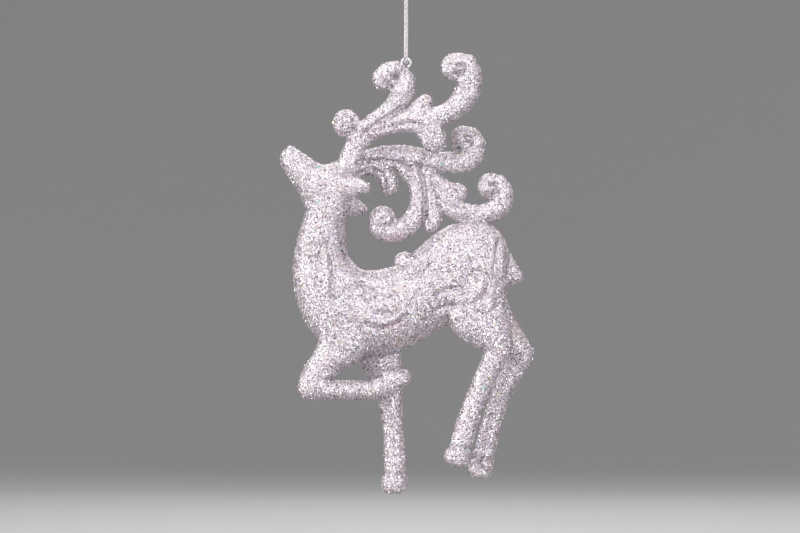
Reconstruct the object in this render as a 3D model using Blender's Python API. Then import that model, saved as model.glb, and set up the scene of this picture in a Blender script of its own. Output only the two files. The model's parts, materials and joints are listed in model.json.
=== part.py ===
"""Hanging reindeer ornament: glitter-coated moulded plastic on a doubled metallic cord.

Frame: +Z up, the reindeer looks along -X and its left side faces -Y. The origin is where a hook passes
through the doubled cord, just under its knot. Outlines are drawn in millimetres from the middle of the
hanging eye, which is also the axis that the reindeer rocks on.
"""

import math
from collections import namedtuple

import bmesh
import bpy
import numpy as np
from mathutils import Matrix, Vector

# Driving dimensions, in millimetres.
MM = 0.001  # one millimetre in metres
EYE_DROP = 24.0  # from the hook point down to the middle of the eye
WALL = 1.6  # wall of the two hollow body halves
GAP = 0.3  # clearance between pieces that meet
SPACING = 4.4  # between sections along the body and limbs
STROKE_SPACING = 2.4  # between sections along the antler scrolls
BODY_SIDES = 18
HOLLOW_SIDES = 12
LIMB_SIDES = 12
SCROLL_SIDES = 10

CORD_DIAMETER = 1.37
CORD_BEND = 2.75  # radius of the cord's turn through the eye, two cord diameters
CORD_POINT_SPACING = 1.5
CORD_LEG = ((0.95, 0.0), (1.05, -6.0), (1.5, -12.0), (2.3, -17.0))  # y and z of one side, from the top
CORD_TURN_POINTS = 7
KNOT_HALF = (2.1, 2.1, 1.8)  # half sizes of the knot along X, Y and Z
KNOT_TAIL_LENGTH = 3.4
KNOT_TAIL_ROOT = (0.0, 0.5, 0.6)  # from the middle of the knot
KNOT_TAIL_LEAN = (0.25, 0.35, 0.9)

EYE_RADIUS = 1.75
EYE_HOLE_RADIUS = 1.05
EYE_THICKNESS = 1.6
EYE_SIDES = 24
TONGUE_WIDTH = 1.7
TONGUE_THICKNESS = 1.4
TONGUE_TOP = -0.9  # inside the ring's solid
TONGUE_FOOT = -4.6

PEG_RADIUS = 1.5
EAR_PEG_RADIUS = 0.9
PIN_RADIUS = 1.2  # locating pins between the body halves
PIN_LENGTH = 3.0
PIN_ROOT = 2.0  # how deep a pin is rooted in its boss
BOSS_RADIUS = 2.8

SHELL_LOW = (-50.0, -100.0)  # x and z beyond the body on every side
SHELL_HIGH = (50.0, -20.0)
SHELL_REACH = 30.0  # beyond the body's flank

Y_AXIS = Vector((0.0, 1.0, 0.0))
DOME_ANGLES = (32.0, 62.0)  # degrees, sections that round off an end
SHARP_ANGLE = 40.0  # degrees, edges above this stay crisp
BALL_RINGS = 8

GLITTER_COLOUR = (0.58, 0.53, 0.56)
CLEAR_COLOUR = (0.75, 0.75, 0.76)
CORD_COLOUR = (0.72, 0.71, 0.72)

# A loft station is: one edge x, z, the other edge x, z, half depth.
HEAD_AND_NECK = (
    (-38.4, -27.8, -38.8, -33.2, 3.2),
    (-36.9, -26.3, -37.8, -35.2, 4.6),
    (-34.6, -27.6, -36.0, -37.7, 5.3),
    (-31.8, -29.4, -34.5, -40.2, 5.7),
    (-28.8, -31.6, -33.1, -42.8, 6.2),
    (-25.6, -32.6, -31.9, -45.4, 6.6),
    (-21.5, -31.2, -31.5, -46.4, 6.9),
    (-16.0, -35.6, -31.8, -47.6, 7.0),
    (-16.4, -41.0, -32.4, -49.4, 6.9),
    (-18.0, -46.0, -33.0, -51.6, 6.9),
    (-19.3, -50.0, -33.8, -54.0, 7.1),
    (-19.6, -54.6, -34.8, -58.0, 7.5),
    (-19.2, -58.8, -35.5, -62.4, 8.1),
    (-18.0, -62.3, -35.7, -66.8, 8.7),
    (-15.2, -65.2, -35.4, -71.0, 9.3),
    (-11.0, -67.2, -34.6, -75.4, 9.7),
    (-8.0, -71.5, -32.7, -80.2, 9.9),
    (-9.0, -78.0, -30.2, -84.5, 9.7),
    (-11.0, -84.0, -27.3, -87.8, 8.9),
)
HEAD_DOMES = (1.0, 3.0)  # heights of the rounded first and last ends
HOLLOW_FROM = 9  # the head above this station is solid, and holds the pegs of the antlers and ears
NECK_HOLLOW_DOMES = (2.0, 2.0)
TRUNK = (
    (-24.0, -69.0, -23.5, -88.5, 8.6),
    (-18.0, -66.6, -18.5, -92.0, 9.8),
    (-11.5, -66.1, -11.5, -93.0, 10.4),
    (-4.5, -64.9, -4.0, -92.0, 10.6),
    (2.2, -60.6, 3.2, -88.7, 10.6),
    (8.0, -55.5, 8.6, -85.4, 10.6),
    (14.0, -51.6, 13.0, -83.2, 10.6),
    (19.5, -50.5, 19.0, -84.5, 10.4),
    (24.0, -50.4, 23.6, -84.3, 9.9),
    (27.6, -51.8, 27.4, -83.0, 9.0),
    (30.5, -55.0, 30.0, -80.2, 7.6),
    (32.0, -58.8, 30.9, -75.0, 5.4),
)
TRUNK_DOMES = (3.0, 0.8)
TRUNK_HOLLOW_DOMES = (2.0, 0.6)
CREST = (-0.4, 0.0, -63.2)  # small rounded lump on the back, behind the neck
CREST_HALF = (3.1, 3.6, 3.0)
TAIL = (
    (28.0, -58.4, 27.0, -69.6, 2.5),
    (33.0, -60.4, 31.2, -70.4, 2.6),
    (34.8, -63.9, 33.5, -70.2, 2.3),
    (35.9, -66.0, 35.3, -69.6, 1.7),
)
TAIL_TIP = 1.3  # height of the rounded tip
LEFT_EAR = (
    (-20.0, -36.4, -20.4, -42.4, 1.9),
    (-17.5, -36.0, -17.8, -42.2, 1.9),
    (-15.0, -36.6, -15.6, -41.9, 1.6),
    (-13.2, -37.8, -13.6, -41.1, 1.2),
)
RIGHT_EAR = (
    (-20.4, -42.2, -21.2, -48.3, 1.9),
    (-17.8, -42.3, -18.6, -48.2, 1.9),
    (-15.7, -43.0, -16.0, -48.0, 1.6),
    (-14.0, -44.7, -14.4, -47.9, 1.2),
)
EAR_Y = (4.8, 7.0)  # the ear's root and tip, from the middle plane
LEFT_EAR_TIP = 2.0
RIGHT_EAR_TIP = 1.7
ROOT_DOME = 0.5  # low dome on the buried end of an ear or the tail

# A limb is one loft: its first stations are the stub on the body, and the leg starts at the joint station.
Limb = namedtuple("Limb", "stations joint y domes")
LIMBS = {
    "foreleg_left_raised": Limb(
        (
            (-26.5, -82.0, -9.0, -84.0, 4.4),
            (-27.6, -88.6, -12.5, -91.6, 4.3),
            (-29.2, -92.1, -16.0, -94.9, 4.0),
            (-31.8, -96.2, -20.2, -96.9, 3.7),
            (-33.5, -100.0, -23.4, -99.6, 3.4),
            (-34.2, -103.3, -24.0, -100.5, 3.3),
            (-32.6, -106.1, -23.4, -100.8, 3.1),
            (-28.0, -106.4, -22.0, -100.9, 3.0),
            (-22.5, -106.4, -20.4, -100.9, 2.9),
            (-15.0, -106.4, -15.0, -100.9, 2.9),
            (-8.8, -106.3, -10.2, -100.6, 2.9),
            (-4.8, -105.6, -6.9, -97.9, 3.2),
            (-2.0, -103.4, -3.4, -97.3, 3.4),
            (-0.6, -102.2, -1.2, -97.4, 3.2),
        ),
        joint=2,
        y=-5.2,
        domes=(2.0, 2.3),
    ),
    "foreleg_right_standing": Limb(
        (
            (-16.0, -82.0, -1.0, -82.0, 4.0),
            (-15.4, -91.0, -1.8, -91.0, 3.9),
            (-15.0, -94.4, -1.8, -94.4, 3.7),
            (-13.4, -97.2, -1.8, -97.2, 3.6),
            (-11.4, -100.4, -1.6, -100.4, 3.5),
            (-9.0, -106.8, -1.6, -106.8, 3.2),
            (-7.7, -111.4, -1.6, -111.4, 3.0),
            (-7.0, -117.0, -1.2, -117.0, 2.9),
            (-6.8, -123.0, -0.5, -123.0, 2.9),
            (-6.8, -130.2, -0.3, -130.2, 3.1),
            (-7.4, -133.2, 0.0, -133.2, 3.6),
            (-7.4, -135.4, 0.1, -135.4, 3.7),
        ),
        joint=2,
        y=4.8,
        domes=(2.0, 1.2),
    ),
    "hind_leg_left": Limb(
        (
            (13.5, -70.0, 30.0, -67.0, 4.6),
            (13.0, -79.0, 31.0, -74.0, 5.6),
            (15.3, -85.2, 32.4, -81.0, 5.6),
            (20.5, -88.9, 33.6, -86.4, 4.8),
            (24.7, -91.0, 33.4, -91.6, 3.9),
            (24.1, -94.0, 31.0, -95.8, 3.4),
            (22.6, -97.6, 28.6, -99.8, 3.2),
            (20.2, -103.2, 25.8, -105.2, 3.0),
            (17.8, -109.0, 23.6, -111.0, 2.9),
            (15.4, -116.2, 21.7, -118.0, 2.9),
            (14.0, -121.0, 20.4, -122.2, 3.0),
            (12.1, -124.8, 20.0, -125.2, 3.4),
            (13.0, -126.4, 19.6, -126.6, 3.1),
        ),
        joint=4,
        y=-5.0,
        domes=(2.0, 1.0),
    ),
    "hind_leg_right": Limb(
        (
            (18.0, -70.0, 30.6, -66.0, 4.6),
            (19.5, -77.0, 31.8, -74.6, 5.4),
            (23.0, -83.0, 34.2, -81.2, 5.2),
            (27.5, -88.0, 37.4, -86.2, 4.6),
            (31.4, -91.6, 40.6, -91.2, 3.9),
            (31.6, -94.2, 40.0, -94.7, 3.5),
            (30.2, -97.6, 37.2, -98.8, 3.2),
            (27.6, -104.2, 33.5, -105.0, 3.0),
            (25.2, -111.4, 30.9, -112.0, 2.9),
            (23.3, -118.0, 29.2, -118.6, 2.9),
            (21.6, -124.8, 27.9, -125.4, 3.0),
            (20.1, -128.4, 27.3, -128.9, 3.4),
            (20.3, -130.6, 26.8, -130.9, 3.2),
        ),
        joint=4,
        y=5.0,
        domes=(2.0, 1.0),
    ),
}

# A scroll station is: centre x, z, half width. A curl is a ball: centre x, z, radius.
LEFT_SCROLLS = (
    ((-18.0, -33.0, 3.7), (-17.5, -30.8, 3.6), (-16.6, -27.8, 3.2), (-15.4, -25.0, 3.1),
     (-13.6, -22.4, 3.0), (-11.0, -19.8, 2.9), (-8.4, -17.8, 2.8), (-6.0, -15.9, 2.8), (-4.0, -13.9, 2.9),
     (-2.3, -11.7, 3.2), (-1.3, -9.5, 3.5), (-0.9, -7.4, 3.7), (0.3, -4.8, 2.4), (-0.8, -2.7, 2.1),
     (-3.0, -1.7, 2.2), (-5.6, -2.3, 2.7), (-7.1, -4.6, 3.2)),
    ((-16.4, -28.8, 2.6), (-14.6, -25.5, 2.2), (-12.5, -23.4, 2.2), (-9.4, -21.3, 2.2), (-5.8, -19.9, 2.4),
     (-2.4, -19.1, 2.8), (1.2, -18.4, 3.6), (5.0, -17.9, 3.7), (9.0, -17.4, 3.1), (12.4, -16.4, 3.0),
     (15.6, -14.2, 3.2), (18.6, -10.6, 3.6), (20.3, -6.6, 3.7), (20.1, -3.4, 3.7), (19.0, -0.9, 3.8),
     (16.6, -0.7, 3.8)),
    ((2.6, -16.4, 2.7), (4.7, -14.1, 2.7), (6.0, -12.5, 2.2)),
    ((5.2, -18.8, 4.4), (7.9, -22.0, 4.2), (9.0, -24.8, 3.7)),
    ((-14.2, -23.0, 2.4), (-16.4, -20.6, 3.0), (-18.2, -19.4, 3.6)),
)
LEFT_CURLS = ((-7.15, -5.0, 3.4), (15.3, -1.3, 4.05), (-18.95, -19.2, 4.1))
CURL_OPENING = (-3.1, -4.4)  # x and z of the open middle of the curl beside the hanging eye
CURL_OPENING_RADIUS = 1.15
RIGHT_SCROLLS = (
    ((-20.0, -36.4, 4.0), (-15.6, -32.6, 3.6), (-10.6, -30.2, 3.1), (-5.0, -29.7, 3.4), (0.0, -29.8, 3.6),
     (5.0, -30.4, 3.2), (10.0, -31.2, 3.0), (15.0, -31.5, 3.3), (19.0, -31.0, 3.4), (21.6, -28.8, 3.3),
     (22.0, -25.8, 3.1), (20.6, -23.5, 3.1)),
    ((-13.8, -33.0, 2.3), (-9.6, -33.4, 2.4), (-6.8, -34.8, 2.7), (-5.6, -37.0, 2.7), (-5.6, -39.0, 2.7)),
    ((0.4, -32.8, 3.4), (3.4, -37.0, 3.1), (4.3, -41.0, 2.9), (4.0, -45.6, 2.8), (2.2, -49.7, 2.9),
     (-0.8, -52.4, 3.1), (-4.6, -53.4, 3.5), (-7.6, -52.0, 3.9)),
    ((5.2, -34.8, 2.6), (6.4, -38.6, 2.6), (8.0, -43.0, 2.7), (8.9, -47.0, 2.6), (8.5, -49.6, 2.5),
     (8.0, -51.2, 2.2)),
    ((6.6, -36.4, 2.8), (11.0, -39.3, 2.8), (13.8, -41.2, 3.0), (16.2, -41.3, 3.1)),
    ((8.0, -40.0, 2.8), (12.0, -44.0, 3.0), (16.6, -46.9, 3.0), (20.0, -47.8, 2.8), (24.0, -48.0, 2.8),
     (28.0, -46.8, 3.3), (30.4, -44.0, 3.4), (30.6, -41.0, 3.2), (29.2, -38.9, 3.3)),
)
RIGHT_CURLS = ((18.1, -24.0, 3.9), (-7.5, -49.7, 4.1), (26.8, -39.0, 3.85))
SCROLL_DEPTH = 0.86  # half depth of a scroll, as a share of its half width
SCROLL_DEPTH_MAX = 3.0
SCROLL_ROOT_DOME = 0.8  # height of the dome at a scroll's root, as a share of its half width
ANTLER_Y = 3.2  # each antler grows from its own side of the head
LEFT_LEAN_SPAN = (-20.0, -6.0)  # heights between which the left antler swings over to the middle plane
RIGHT_LEAN_SPAN = (-36.0, -46.0)
RIGHT_LEAN_SHARE = 0.6  # the right antler's lowest curls go this share of the way back to the middle

# Pegs, each from a point inside its piece to a point inside the body: x, y, z.
PEGS = {
    "antler_left": ((-17.4, -3.2, -29.5), (-19.8, -3.2, -37.2), PEG_RADIUS),
    "antler_right": ((-14.5, 3.2, -32.2), (-21.0, 3.2, -37.0), PEG_RADIUS),
    "ear_left": ((-16.6, -6.1, -39.6), (-22.0, -4.0, -41.2), EAR_PEG_RADIUS),
    "ear_right": ((-17.0, 6.1, -45.2), (-23.0, 4.0, -45.6), EAR_PEG_RADIUS),
    "tail": ((33.0, 0.0, -66.4), (25.0, 0.0, -66.4), PEG_RADIUS),
    "foreleg_left_raised": ((-24.4, -5.2, -97.0), (-20.4, -5.2, -88.0), PEG_RADIUS),
    "foreleg_right_standing": ((-7.6, 4.8, -98.5), (-8.4, 4.8, -88.5), PEG_RADIUS),
    "hind_leg_left": ((28.0, -5.0, -95.5), (28.6, -5.0, -86.0), PEG_RADIUS),
    "hind_leg_right": ((35.6, 5.0, -96.0), (34.2, 5.0, -86.5), PEG_RADIUS),
}
# Locating pins between the halves: x, z, and how deep the boss reaches.
PINS = ((-27.5, -56.0, 6.4), (-23.0, -79.0, 8.6), (2.0, -76.0, 9.6), (20.0, -66.0, 9.6))

Section = namedtuple("Section", "centre across half_width half_depth")


def spline(stations, spacing):
    """Rows of numbers about `spacing` apart on a smooth curve through the stations."""
    rows = np.array(stations, dtype=float)
    padded = np.vstack([2 * rows[0] - rows[1], rows, 2 * rows[-1] - rows[-2]])
    smooth = []
    for before, start, end, after in zip(padded, padded[1:], padded[2:], padded[3:]):
        steps = max(1, round(float(np.linalg.norm(end - start)) / spacing))
        for step in range(steps):
            t = step / steps
            bend = (2 * before - 5 * start + 4 * end - after) * t**2
            twist = (3 * start - before - 3 * end + after) * t**3
            smooth.append(0.5 * (2 * start + (end - before) * t + bend + twist))
    smooth.append(rows[-1])
    return smooth


def ease(value, start, end):
    """0 at `start` and 1 at `end`, smooth between them and level outside."""
    share = min(max((value - start) / (end - start), 0.0), 1.0)
    return share * share * (3.0 - 2.0 * share)


def lean_left(z):
    """Sideways place of the left antler: its own side at the head, the middle plane at its top."""
    return -ANTLER_Y * (1.0 - ease(z, *LEFT_LEAN_SPAN))


def lean_right(z):
    """Sideways place of the right antler: its own side, and nearer the middle at its lowest curls."""
    return ANTLER_Y * (1.0 - RIGHT_LEAN_SHARE * ease(z, *RIGHT_LEAN_SPAN))


def loft_sections(stations, y_range, grow=0.0):
    """Oval sections between pairs of edge points, grown or shrunk by `grow` all round."""
    rows = spline(stations, SPACING)
    sections = []
    for index, (ax, az, bx, bz, depth) in enumerate(rows):
        share = index / (len(rows) - 1)
        y = y_range[0] + (y_range[1] - y_range[0]) * share
        edge = Vector((ax - bx, 0.0, az - bz))
        centre = Vector(((ax + bx) / 2, y, (az + bz) / 2))
        sections.append(Section(centre, edge.normalized(), edge.length / 2 + grow, depth + grow))
    return sections


def scroll_sections(stations, lean):
    """Oval sections square to a line through the stations; lean(z) is how far over in Y they lie."""
    rows = spline(stations, STROKE_SPACING)
    centres = [Vector((x, lean(z), z)) for x, z, _ in rows]
    sections = []
    for index, centre in enumerate(centres):
        ahead = centres[min(index + 1, len(centres) - 1)] - centres[max(index - 1, 0)]
        across = Vector((ahead.z, 0.0, -ahead.x)).normalized()
        half_width = rows[index][2]
        half_depth = min(half_width * SCROLL_DEPTH, SCROLL_DEPTH_MAX)
        sections.append(Section(centre, across, half_width, half_depth))
    return sections


def end_direction(end, inner):
    """Unit vector out of an end section, square to it in the XZ plane."""
    outward = Vector((end.across.z, 0.0, -end.across.x))
    return outward if outward.dot(end.centre - inner.centre) > 0 else -outward


def rounded_end(end, inner, height):
    """Sections that close an end as a dome, and the dome's own point."""
    outward = end_direction(end, inner)
    sections = []
    for angle in (math.radians(degrees) for degrees in DOME_ANGLES):
        centre = end.centre + outward * height * math.sin(angle)
        scale = math.cos(angle)
        sections.append(Section(centre, end.across, end.half_width * scale, end.half_depth * scale))
    return sections, end.centre + outward * height


def skin(sections, domes, sides):
    """Closed mesh over a row of sections; a dome height of 0 leaves that end flat."""
    rows = list(sections)
    tips = [None, None]
    if domes[0]:
        caps, tips[0] = rounded_end(sections[0], sections[1], domes[0])
        rows = caps[::-1] + rows
    if domes[1]:
        caps, tips[1] = rounded_end(sections[-1], sections[-2], domes[1])
        rows = rows + caps

    bm = bmesh.new()
    rings = []
    for row in rows:
        ring = []
        for corner in range(sides):
            angle = 2 * math.pi * corner / sides
            sideways = row.across * row.half_width * math.cos(angle)
            ring.append(bm.verts.new(row.centre + sideways + Y_AXIS * row.half_depth * math.sin(angle)))
        rings.append(ring)
    for ring, following in zip(rings, rings[1:]):
        for corner in range(sides):
            after = (corner + 1) % sides
            bm.faces.new((ring[corner], ring[after], following[after], following[corner]))
    for ring, tip in ((rings[0], tips[0]), (rings[-1], tips[1])):
        if tip is None:
            bm.faces.new(ring)
            continue
        point = bm.verts.new(tip)
        for corner in range(sides):
            bm.faces.new((ring[corner], ring[(corner + 1) % sides], point))
    return bm


def ball(centre, half_sizes):
    """Closed round lump with its own half size along each axis."""
    bm = bmesh.new()
    placed = Matrix.Translation(centre) @ Matrix.Diagonal((*half_sizes, 1.0))
    bmesh.ops.create_uvsphere(bm, u_segments=SCROLL_SIDES, v_segments=BALL_RINGS, radius=1.0, matrix=placed)
    return bm


def rod(start, end, radius, sides=SCROLL_SIDES):
    """Round bar between two points."""
    start, end = Vector(start), Vector(end)
    turned = (end - start).to_track_quat("Z", "Y").to_matrix().to_4x4()
    bm = bmesh.new()
    bmesh.ops.create_cone(
        bm,
        cap_ends=True,
        segments=sides,
        radius1=radius,
        radius2=radius,
        depth=(end - start).length,
        matrix=Matrix.Translation((start + end) / 2) @ turned,
    )
    return bm


def block(low, high):
    """Box between two corners."""
    low, high = Vector(low), Vector(high)
    bm = bmesh.new()
    placed = Matrix.Translation((low + high) / 2) @ Matrix.Diagonal((*(high - low), 1.0))
    bmesh.ops.create_cube(bm, size=1.0, matrix=placed)
    return bm


def finish(name, colour, roughness, metallic):
    """Principled material of one piece."""
    material = bpy.data.materials.new(name + "_finish")
    material.use_nodes = True
    shader = material.node_tree.nodes["Principled BSDF"]
    shader.inputs["Base Color"].default_value = (*colour, 1.0)
    shader.inputs["Roughness"].default_value = roughness
    shader.inputs["Metallic"].default_value = metallic
    material.diffuse_color = (*colour, 1.0)
    return material


def silver_glitter(name):
    return finish(name, GLITTER_COLOUR, roughness=0.35, metallic=0.7)


def clear_plastic(name):
    return finish(name, CLEAR_COLOUR, roughness=0.12, metallic=0.0)


def silver_cord(name):
    return finish(name, CORD_COLOUR, roughness=0.3, metallic=0.8)


def add_piece(name, bm, parent, material=None):
    """Object from a mesh drawn in millimetres, hung on `parent`."""
    bmesh.ops.recalc_face_normals(bm, faces=bm.faces)
    bmesh.ops.scale(bm, vec=(MM, MM, MM), verts=bm.verts)
    mesh = bpy.data.meshes.new(name)
    bm.to_mesh(mesh)
    bm.free()
    mesh.shade_smooth()
    mesh.set_sharp_from_angle(angle=math.radians(SHARP_ANGLE))
    if material:
        mesh.materials.append(material)
    piece = bpy.data.objects.new(name, mesh)
    bpy.context.collection.objects.link(piece)
    piece.parent = parent
    return piece


def add_guide(name, bm, parent):
    """Shape that only cuts or joins other pieces."""
    guide = add_piece("guide_" + name, bm, parent)
    guide.hide_render = True
    guide.display_type = "WIRE"
    return guide


def combine(piece, operation, guides):
    """Boolean modifiers on a piece, one for each guide."""
    for guide in guides:
        step = piece.modifiers.new(guide.name, "BOOLEAN")
        step.operation = operation
        step.solver = "EXACT"
        step.object = guide


def add_pivot(name, location):
    """Empty on a joint's axis; `location` is in millimetres."""
    pivot = bpy.data.objects.new(name, None)
    pivot.location = Vector(location) * MM
    bpy.context.collection.objects.link(pivot)
    return pivot


def peg_and_socket(name, parent):
    """Peg of one piece, and the hole that it leaves clearance in."""
    start, end, radius = PEGS[name]
    beyond = Vector(end) + (Vector(end) - Vector(start)).normalized() * GAP
    peg = add_guide(name + "_peg", rod(start, end, radius), parent)
    socket = add_guide(name + "_socket", rod(start, beyond, radius + GAP), parent)
    return peg, socket


def split_limb(limb):
    """Sections of the stub on the body, and of the leg that starts GAP below it."""
    above = loft_sections(limb.stations[: limb.joint + 1], (limb.y, limb.y))
    below = loft_sections(limb.stations[limb.joint :], (limb.y, limb.y))
    first = below[0]
    away = end_direction(first, below[1])
    below[0] = first._replace(centre=first.centre - away * GAP)
    return above, below


def add_whole_body(parent):
    """Guide of the whole body, hollowed out: head and neck, trunk, crest and leg stubs in one."""
    head = skin(loft_sections(HEAD_AND_NECK, (0.0, 0.0)), HEAD_DOMES, BODY_SIDES)
    whole = add_guide("body", head, parent)
    trunk = skin(loft_sections(TRUNK, (0.0, 0.0)), TRUNK_DOMES, BODY_SIDES)
    joined = [add_guide("trunk", trunk, parent), add_guide("crest", ball(CREST, CREST_HALF), parent)]
    for name, limb in LIMBS.items():
        above, _ = split_limb(limb)
        stub = skin(above, (limb.domes[0], 0.0), LIMB_SIDES)
        joined.append(add_guide(name + "_stub", stub, parent))
    combine(whole, "UNION", joined)

    inner_neck = loft_sections(HEAD_AND_NECK[HOLLOW_FROM:-1], (0.0, 0.0), -WALL)
    neck = skin(inner_neck, NECK_HOLLOW_DOMES, HOLLOW_SIDES)
    inner_trunk = loft_sections(TRUNK[1:-1], (0.0, 0.0), -WALL)
    belly = skin(inner_trunk, TRUNK_HOLLOW_DOMES, HOLLOW_SIDES)
    hollows = [add_guide("neck_hollow", neck, parent), add_guide("trunk_hollow", belly, parent)]
    combine(whole, "DIFFERENCE", hollows)
    return whole


def make_shell(side, sign, whole, sockets, parent):
    """One half of the body, with its bosses and either the locating pins or their holes."""
    name = "body_shell_" + side
    near, far = sorted((sign * GAP / 2, sign * SHELL_REACH))
    low = (SHELL_LOW[0], near, SHELL_LOW[1])
    high = (SHELL_HIGH[0], far, SHELL_HIGH[1])
    shell = add_piece(name, block(low, high), parent, silver_glitter(name))
    combine(shell, "INTERSECT", [whole])
    for number, (x, z, depth) in enumerate(PINS, start=1):
        label = f"{side}_boss_{number}"
        boss = rod((x, sign * depth, z), (x, sign * GAP, z), BOSS_RADIUS)
        combine(shell, "UNION", [add_guide(label, boss, parent)])
        if side == "left":
            pin = rod((x, -PIN_ROOT, z), (x, PIN_LENGTH, z), PIN_RADIUS)
            combine(shell, "UNION", [add_guide(label + "_pin", pin, parent)])
        else:
            hole = rod((x, -PIN_ROOT, z), (x, PIN_LENGTH + GAP, z), PIN_RADIUS + GAP)
            combine(shell, "DIFFERENCE", [add_guide(label + "_hole", hole, parent)])
    combine(shell, "DIFFERENCE", sockets)


def make_antler(name, scrolls, curls, lean, clearances, parent):
    """One antler without its peg: scrolls joined to the balls that they curl into."""
    shapes = []
    for line in scrolls:
        domes = (line[0][2] * SCROLL_ROOT_DOME, line[-1][2])
        shapes.append(skin(scroll_sections(line, lean), domes, SCROLL_SIDES))
    for x, z, radius in curls:
        shapes.append(ball((x, lean(z), z), (radius, radius * SCROLL_DEPTH, radius)))
    antler = add_piece(name, shapes[0], parent, silver_glitter(name))
    branches = []
    for number, shape in enumerate(shapes[1:], start=1):
        branches.append(add_guide(f"{name}_branch_{number}", shape, parent))
    combine(antler, "UNION", branches)
    combine(antler, "DIFFERENCE", clearances)
    return antler


def ring_and_tongue(grow, parent, name):
    """Outside of the hanging eye, grown by `grow`: its round disc, and a guide of the tongue below it."""
    half = EYE_THICKNESS / 2 + grow
    disc = rod((0, -half, 0), (0, half, 0), EYE_RADIUS + grow, EYE_SIDES)
    half_width = TONGUE_WIDTH / 2 + grow
    half_thickness = TONGUE_THICKNESS / 2 + grow
    low = (-half_width, -half_thickness, TONGUE_FOOT - grow)
    tongue = block(low, (half_width, half_thickness, TONGUE_TOP))
    return disc, add_guide(name, tongue, parent)


def make_eye(antler, parent):
    """Clear ring on the left antler, with a tongue set into a slot."""
    disc, tongue = ring_and_tongue(0.0, parent, "eye_tongue")
    eye = add_piece("hanging_eye", disc, parent, clear_plastic("hanging_eye"))
    hole = rod((0, -EYE_THICKNESS, 0), (0, EYE_THICKNESS, 0), EYE_HOLE_RADIUS, EYE_SIDES)
    combine(eye, "UNION", [tongue])
    combine(eye, "DIFFERENCE", [add_guide("eye_hole", hole, parent)])

    slot, tongue_slot = ring_and_tongue(GAP, parent, "tongue_slot")
    combine(antler, "DIFFERENCE", [add_guide("eye_slot", slot, parent), tongue_slot])


def make_trimmed(name, stations, y_range, tip, clearances, peg, parent):
    """Ear or tail: a loft cut off where it meets the body, with its peg."""
    shape = skin(loft_sections(stations, y_range), (ROOT_DOME, tip), LIMB_SIDES)
    piece = add_piece(name, shape, parent, silver_glitter(name))
    combine(piece, "DIFFERENCE", clearances)
    combine(piece, "UNION", [peg])


def make_leg(name, limb, peg, parent):
    """Leg below its joint, flat where it meets the stub, with its peg."""
    _, below = split_limb(limb)
    shape = skin(below, (0.0, limb.domes[1]), LIMB_SIDES)
    leg = add_piece(name, shape, parent, silver_glitter(name))
    combine(leg, "UNION", [peg])


def cord_route():
    """Middle line of the cord: down in front, through the eye and up behind."""
    turn_height = CORD_BEND - EYE_DROP
    turn = [
        (CORD_BEND * math.cos(angle), turn_height - CORD_BEND * math.sin(angle))
        for angle in np.linspace(0.0, math.pi, CORD_TURN_POINTS)
    ]
    down = [(-y, z) for y, z in CORD_LEG] + [(-y, z) for y, z in turn]
    up = list(CORD_LEG)[::-1]
    return [Vector((0.0, y, z)) for y, z in spline(down + up, CORD_POINT_SPACING)]


def make_cord(parent):
    """The doubled cord, as one tube from the knot down through the eye and back."""
    curve = bpy.data.curves.new("hanging_cord", "CURVE")
    curve.dimensions = "3D"
    curve.bevel_depth = CORD_DIAMETER / 2 * MM
    curve.bevel_resolution = 2
    curve.use_fill_caps = True
    route = cord_route()
    line = curve.splines.new("POLY")
    line.points.add(len(route) - 1)
    for point, place in zip(line.points, route):
        point.co = (*(place * MM), 1.0)
    curve.materials.append(silver_cord("hanging_cord"))
    cord = bpy.data.objects.new("hanging_cord", curve)
    bpy.context.collection.objects.link(cord)
    cord.parent = parent


def make_knot(parent):
    """Knot that ties both ends of the cord together, with the two cut ends above it."""
    middle = Vector((0.0, 0.0, GAP + KNOT_HALF[2]))
    knot = add_piece("cord_knot", ball(middle, KNOT_HALF), parent, silver_cord("cord_knot"))
    length = KNOT_HALF[2] + KNOT_TAIL_LENGTH
    for number, sign in ((1, -1.0), (2, 1.0)):
        start = middle + Vector((KNOT_TAIL_ROOT[0], KNOT_TAIL_ROOT[1] * sign, KNOT_TAIL_ROOT[2]))
        lean = Vector((KNOT_TAIL_LEAN[0] * sign, KNOT_TAIL_LEAN[1] * sign, KNOT_TAIL_LEAN[2])).normalized()
        tail = rod(start, start + lean * length, CORD_DIAMETER / 2)
        combine(knot, "UNION", [add_guide(f"knot_tail_{number}", tail, parent)])


for leftover in list(bpy.data.objects):
    bpy.data.objects.remove(leftover, do_unlink=True)

hook_point = add_pivot("hook_point", (0.0, 0.0, 0.0))
eye_pivot = add_pivot("eye_pivot", (0.0, 0.0, -EYE_DROP))
fittings = {peg_name: peg_and_socket(peg_name, eye_pivot) for peg_name in PEGS}
pegs = {peg_name: peg for peg_name, (peg, _) in fittings.items()}
body_sockets = [socket for _, socket in fittings.values()]

body = add_whole_body(eye_pivot)
make_shell("left", -1.0, body, body_sockets, eye_pivot)
make_shell("right", 1.0, body, body_sockets, eye_pivot)

grown = loft_sections(HEAD_AND_NECK, (0.0, 0.0), GAP)
grown_domes = (HEAD_DOMES[0] + GAP, HEAD_DOMES[1])
head_room = add_guide("head_room", skin(grown, grown_domes, BODY_SIDES), eye_pivot)
grown = loft_sections(TRUNK, (0.0, 0.0), GAP)
grown_domes = (TRUNK_DOMES[0], TRUNK_DOMES[1] + GAP)
trunk_room = add_guide("trunk_room", skin(grown, grown_domes, BODY_SIDES), eye_pivot)

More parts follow.
